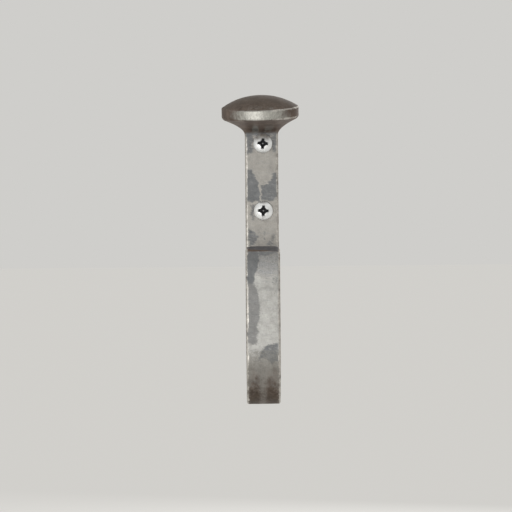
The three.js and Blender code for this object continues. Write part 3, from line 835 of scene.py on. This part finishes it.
def thread_tree():
    """Pushes the wall of a plain cylinder in and out to a right-hand thread that runs down to a point."""
    sizes = ("Length", "Core radius", "Crest radius", "Pitch", "Point length")
    inputs = {size: "NodeSocketFloat" for size in sizes}
    inputs |= {"Around": "NodeSocketInt", "Rows": "NodeSocketInt", "Material": "NodeSocketMaterial"}
    tree = new_tree("rolled_thread", inputs)
    given = {label: add_node(tree, "NodeGroupInput", out=label) for label in inputs}
    wire = {"Vertices": given["Around"], "Side Segments": given["Rows"]}
    wire |= {"Radius": 1.0, "Depth": given["Length"]}
    blank = add_node(tree, "GeometryNodeMeshCylinder", wire, fill_type="TRIANGLE_FAN")
    place = add_node(tree, "GeometryNodeInputPosition")
    x, y, z = (add_node(tree, "ShaderNodeSeparateXYZ", (place,), out=axis) for axis in "XYZ")

    angle = add_node(tree, "ShaderNodeMath", (y, x), operation="ARCTAN2")
    turned = add_node(tree, "ShaderNodeMath", (angle, 2 * math.pi), operation="DIVIDE")
    climbed = add_node(tree, "ShaderNodeMath", (z, given["Pitch"]), operation="DIVIDE")
    phase = add_node(tree, "ShaderNodeMath", (climbed, turned), operation="SUBTRACT")
    cycle = add_node(tree, "ShaderNodeMath", (phase, 0.5), operation="SUBTRACT")
    in_turn = add_node(tree, "ShaderNodeMath", (cycle, 1.0, 0.0), operation="WRAP")
    centred = add_node(tree, "ShaderNodeMath", (in_turn, 0.5), operation="SUBTRACT")
    from_crest = add_node(tree, "ShaderNodeMath", (centred,), operation="ABSOLUTE")
    flank = add_node(tree, "ShaderNodeMapRange", (from_crest, CREST_END, FLANK_END, 1.0, 0.0))

    half = add_node(tree, "ShaderNodeMath", (given["Length"], 0.5), operation="MULTIPLY")
    from_point = add_node(tree, "ShaderNodeMath", (z, half), operation="ADD")
    tapering = (from_point, 0.0, given["Point length"], POINT_WIDTH, 1.0)
    taper = add_node(tree, "ShaderNodeMapRange", tapering)
    from_top = add_node(tree, "ShaderNodeMath", (half, z), operation="SUBTRACT")
    run_out = add_node(tree, "ShaderNodeMapRange", (from_top, 0.0, given["Pitch"]))
    radii = (given["Crest radius"], given["Core radius"])
    cut = add_node(tree, "ShaderNodeMath", radii, operation="SUBTRACT")
    ridge = add_node(tree, "ShaderNodeMath", (flank, run_out), operation="MULTIPLY")
    grown = add_node(tree, "ShaderNodeMath", (ridge, cut, given["Core radius"]), operation="MULTIPLY_ADD")
    radius = add_node(tree, "ShaderNodeMath", (grown, taper), operation="MULTIPLY")
    across = [add_node(tree, "ShaderNodeMath", (axis, radius), operation="MULTIPLY") for axis in (x, y)]
    moved = add_node(tree, "ShaderNodeCombineXYZ", (*across, z))
    finish_tree(tree, add_node(tree, "GeometryNodeSetPosition", {"Geometry": blank, "Position": moved}))
    return tree


def crown_height(radius):
    """The height of the head's crown at this distance from its axis."""
    share = np.clip(1 - (radius / screw_head_radius) ** CROWN_FLATNESS, 0, 1)
    return SCREW_HEAD_SIDE + (SCREW_HEAD_HEIGHT - SCREW_HEAD_SIDE) * share ** (1 / SHOULDER_ROUNDNESS)


def screw_head_mesh():
    """The head and plain neck, turned, seated at height 0 and left open where the thread joins on."""
    neck = SCREW_DIAMETER / 2
    flat = screw_head_radius - SCREW_HEAD_EDGE
    crown_steps, edge_steps = 24, 4
    radii = [screw_head_radius * math.cos(math.pi / 2 * i / crown_steps) for i in range(crown_steps)]
    profile = [
        (SCREW_CORE_DIAMETER / 2, -SCREW_PLAIN_LENGTH),
        (neck, -SCREW_PLAIN_LENGTH),
        (neck, 0),
        *arc(flat, SCREW_HEAD_EDGE, SCREW_HEAD_EDGE, -math.pi / 2, 0, edge_steps),
        *((radius, float(crown_height(radius))) for radius in radii),
        (0, SCREW_HEAD_HEIGHT),
    ]
    return turned_mesh("screw_head", profile, SCREW_SEGMENTS)


# The recess's outline a millimetre above the crown, where the punch ends, and at its floor.
RECESS_MOUTH = {"half_across": 4.1, "half_wing": 0.95, "ease": 1.2, "nick": 0.5}
RECESS_FLOOR = {"half_across": 1.45, "half_wing": 0.46, "ease": 0.4, "nick": 0.12}


def recess_level(half_across, half_wing, ease, nick):
    """One level of the cross recess: four wings with nicked tips and eased inner corners."""
    quarter = [
        (half_across - nick, -half_wing),
        (half_across, nick - half_wing),
        (half_across, half_wing - nick),
        (half_across - nick, half_wing),
        (half_wing + ease, half_wing),
        (half_wing, half_wing + ease),
    ]
    turns = ((1, 0), (0, 1), (-1, 0), (0, -1))
    return [(x * c - y * s, x * s + y * c) for c, s in turns for x, y in quarter]


def recess_cutter():
    """The punch that leaves the cross recess: wings that draw in towards a blunt point."""
    levels = [
        (SCREW_HEAD_HEIGHT + 1, recess_level(**RECESS_MOUTH)),
        (SCREW_HEAD_HEIGHT - RECESS_DEPTH, recess_level(**RECESS_FLOOR)),
    ]
    punch = bmesh.new()
    top, floor = (
        [punch.verts.new((x * MM, y * MM, height * MM)) for x, y in outline] for height, outline in levels
    )
    point = punch.verts.new((0, 0, (SCREW_HEAD_HEIGHT - RECESS_DEPTH - RECESS_POINT_DEPTH) * MM))
    punch.faces.new(top)
    for i in range(len(top)):
        j = (i + 1) % len(top)
        punch.faces.new((top[i], floor[i], floor[j], top[j]))
        punch.faces.new((floor[i], point, floor[j]))
    bmesh.ops.recalc_face_normals(punch, faces=punch.faces)
    mesh = bpy.data.meshes.new("recess_cutter")
    punch.to_mesh(mesh)
    punch.free()
    return new_object("recess_cutter", mesh)


def whole_screw(thread):
    """Head and thread as one skin: the thread's open top is the ring of points under the neck."""
    joined = bmesh.new()
    joined.from_mesh(thread)
    top = max(joined.verts, key=lambda vertex: (round(vertex.co.z, 7), -vertex.co.xy.length))
    bmesh.ops.delete(joined, geom=[top], context="VERTS")
    joined.from_mesh(screw_head_mesh())
    bmesh.ops.remove_doubles(joined, verts=joined.verts, dist=SAME_POINT * MM)
    bmesh.ops.recalc_face_normals(joined, faces=joined.faces)
    mesh = bpy.data.meshes.new("screw")
    joined.to_mesh(mesh)
    joined.free()
    return new_object("screw", mesh)


def punched(screw, punch):
    """Cuts the recess, with a millimetre as the unit because the solver is then at its most exact."""
    for piece in (screw, punch):
        piece.data.transform(Matrix.Scale(1 / MM, 4))
    cut = screw.modifiers.new("recess", "BOOLEAN")
    cut.operation = "DIFFERENCE"
    cut.solver = "EXACT"
    cut.object = punch
    mesh = apply_modifiers(screw)
    mesh.transform(Matrix.Scale(MM, 4))
    bpy.data.objects.remove(punch)
    bpy.data.objects.remove(screw)
    return mesh


def zinc_plate():
    """Steel with bright zinc plate: a white, slightly blue, satin gloss with faint cloudy spangle, and a
    dull black painted shade down in the cross recess."""
    material = bpy.data.materials.new("bright_zinc_plated_steel")
    material.use_nodes = True
    tree = material.node_tree
    shader = tree.nodes["Principled BSDF"]
    coordinates = add_node(tree, "ShaderNodeTexCoord", out="Object")
    clouds = {}
    for name, size in (("cloud", 1.6), ("grain", 0.3)):
        noise_inputs = {"Vector": coordinates, "Scale": 1 / (size * MM), "Detail": 3.0}
        made = add_node(tree, "ShaderNodeTexNoise", noise_inputs)
        clouds[name] = add_node(tree, "ShaderNodeMapRange", (made, 0.3, 0.7))
    plate = {FACTOR: clouds["cloud"], COLOUR_A: linear("#eceeee"), COLOUR_B: linear("#fcfdfd")}
    colour = add_node(tree, "ShaderNodeMix", plate, out=COLOUR_OUT, data_type="RGBA")
    # The cross recess is painted dull black as shade, from the stored recess attribute.
    recess_shade = add_node(tree, "ShaderNodeAttribute", out="Fac", attribute_name="recess")
    cover = add_node(tree, "ShaderNodeMapRange", (recess_shade, 0.05, 0.4))
    recess_shaded = {FACTOR: cover, COLOUR_A: colour, COLOUR_B: linear("#26272a")}
    colour = add_node(tree, "ShaderNodeMix", recess_shaded, out=COLOUR_OUT, data_type="RGBA")
    metallic = add_node(tree, "ShaderNodeMix", {FACTOR: cover, NUMBER_A: 1.0, NUMBER_B: 0.3})
    satin = add_node(tree, "ShaderNodeMath", (clouds["grain"], 0.12, 0.4), operation="MULTIPLY_ADD")
    roughness = add_node(tree, "ShaderNodeMix", {FACTOR: cover, NUMBER_A: satin, NUMBER_B: 0.6})
    relief = {"Height": clouds["grain"], "Strength": 0.15, "Distance": 0.03 * MM}
    bump = add_node(tree, "ShaderNodeBump", relief)
    outputs = {"Base Color": colour, "Metallic": metallic, "Roughness": roughness, "Normal": bump}
    for socket, value in outputs.items():
        tree.links.new(value, shader.inputs[socket])
    return material


# Painted shade in the recess: how far below the crown it starts and is whole, how high above the seat and
# how near the axis it lies, and how little of it there is in the very middle.
RECESS_SHADE_STARTS, RECESS_SHADE_WHOLE = 0.08, 0.7
RECESS_SHADE_LOWEST, RECESS_SHADE_REACH = 0.3, 2.9
LIGHTER_MIDDLE, MIDDLE_SHADE = 0.1, 0.1


def screw_mesh(material):
    """One whole screw along the Z axis, seated at height 0 with its point below."""
    thread_length = SCREW_LENGTH - SCREW_PLAIN_LENGTH
    sizes = {
        "Length": thread_length * MM,
        "Core radius": SCREW_CORE_DIAMETER / 2 * MM,
        "Crest radius": SCREW_DIAMETER / 2 * MM,
        "Pitch": SCREW_PITCH * MM,
        "Point length": SCREW_POINT_LENGTH * MM,
        "Around": SCREW_SEGMENTS,
        "Rows": int(thread_length / SCREW_PITCH * ROWS_PER_TURN),
        "Material": material,
    }
    blank = new_object("wire", bpy.data.meshes.new("wire"))
    thread = run_tree(blank, thread_tree(), sizes)
    thread.transform(Matrix.Translation((0, 0, (thread_length / 2 - SCREW_LENGTH) * MM)))
    mesh = punched(whole_screw(thread), recess_cutter())
    places = points_of(mesh) / MM
    radius = np.hypot(places[:, 0], places[:, 1])
    # The recess is painted dark as shade, from just below the crown down to its floor, lighter in the very
    # middle.
    recess_shade = smooth_step(RECESS_SHADE_STARTS, RECESS_SHADE_WHOLE, crown_height(radius) - places[:, 2])
    recess_shade *= (places[:, 2] > RECESS_SHADE_LOWEST) * (radius < RECESS_SHADE_REACH)
    recess_shade = np.where(radius < LIGHTER_MIDDLE, MIDDLE_SHADE * recess_shade, recess_shade)
    stored = mesh.attributes.new("recess", "FLOAT", "POINT")
    stored.data.foreach_set("value", recess_shade.astype(np.float32))
    mesh.materials.clear()
    mesh.materials.append(material)
    mesh.shade_smooth()
    mesh.set_sharp_from_angle(angle=SCREW_SHARP_ANGLE)
    return mesh


# Each recess stops at an angle of its own when its screw is driven home.
DRIVEN_TO = {"upper_screw": math.radians(-5), "lower_screw": math.radians(-3)}

screw_master = screw_mesh(zinc_plate())
for name, screw_z in screw_heights.items():
    mesh = screw_master.copy()
    seat = Matrix.Translation(Vector((screw_x, -BAR_THICKNESS - SCREW_SEAT_GAP, screw_z)) * MM)
    mesh.transform(seat @ Matrix.Rotation(math.pi / 2, 4, "X") @ Matrix.Rotation(DRIVEN_TO[name], 4, "Z"))
    screw = new_object(f"{name}_finished", mesh)
    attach(screw, name)
    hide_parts(name)
